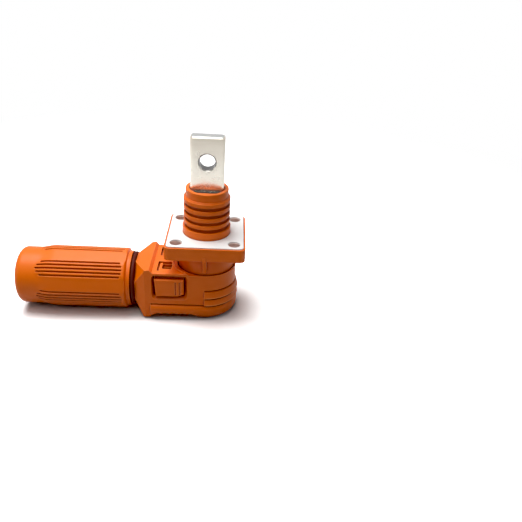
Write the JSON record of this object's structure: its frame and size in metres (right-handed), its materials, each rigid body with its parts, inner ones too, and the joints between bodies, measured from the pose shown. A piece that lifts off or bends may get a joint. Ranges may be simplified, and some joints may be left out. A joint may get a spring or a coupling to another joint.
{
  "type": "right-angle power connector",
  "caption": "Right-angle locking power plug mated with a square-flange panel receptacle: blade terminal above, release button in the side, long grooved cable gland nut.",
  "frame": {"origin": "on the receptacle's axis, at the flange's panel face", "axes": "+Z along the receptacle's axis towards the terminal's blade, -X along the cable out of the plug, -Y towards the release button"},
  "size_m": [0.1343, 0.0468, 0.1108],
  "materials": {
    "orange_plastic": "moulded, fine matt texture",
    "white_silicone": "smooth silicone sheet",
    "tinned_copper": "machined and tin plated",
    "silvered_copper": "turned and silver plated",
    "spring_bronze": "stamped",
    "bush_steel": "turned",
    "zinc_steel": "zinc plated",
    "spring_steel": "drawn wire",
    "black_plastic": "moulded, matt",
    "black_rubber": "moulded rubber",
    "red_rubber": "moulded silicone rubber"
  },
  "bodies": {
    "receptacle": {"receptacle_housing": "orange_plastic", "flange_gasket": "white_silicone", "flange_bush_front_left": "bush_steel", "flange_bush_front_right": "bush_steel", "flange_bush_back_left": "bush_steel", "flange_bush_back_right": "bush_steel", "terminal": "tinned_copper", "terminal_seal": "black_rubber", "terminal_retainer": "black_plastic", "pin_guard": "orange_plastic"},
    "plug": {"plug_housing": "orange_plastic", "contact_carrier": "black_plastic", "mating_seal": "red_rubber", "socket_contact": "silvered_copper", "crown_spring": "spring_bronze", "contact_screw": "zinc_steel", "crimp_terminal": "silvered_copper", "gland_o_ring": "red_rubber", "cable_grommet": "black_rubber", "button_spring_rear": "spring_steel", "button_spring_front": "spring_steel"},
    "button": {"release_button": "orange_plastic"},
    "cage": {"clamp_cage": "black_plastic"},
    "nut": {"gland_nut": "orange_plastic"}
  },
  "joints": [
    {"name": "plug_swivel", "type": "hinge", "parent": "receptacle", "child": "plug", "pos_m": [0, 0, 0], "axis": [0, 0, 1], "continuous": true},
    {"name": "button_press", "type": "slide", "parent": "plug", "child": "button", "axis": [0, 1, 0], "range_m": [0, 0.0022], "stiffness_N_per_m": 1000, "springref_m": -0.002, "deforming": ["button_spring_rear", "button_spring_front"]},
    {"name": "nut_travel", "type": "slide", "parent": "plug", "child": "cage", "axis": [-1, 0, 0], "range_m": [0, 0.009]},
    {"name": "nut_turn", "type": "hinge", "parent": "cage", "child": "nut", "pos_m": [-0.08, 0, -0.0343], "axis": [-1, 0, 0], "range_deg": [0, 2160]}
  ],
  "couplings": [
    {"joint": "nut_travel", "follows": "nut_turn", "m_per_rad": 0.00023873}
  ]
}
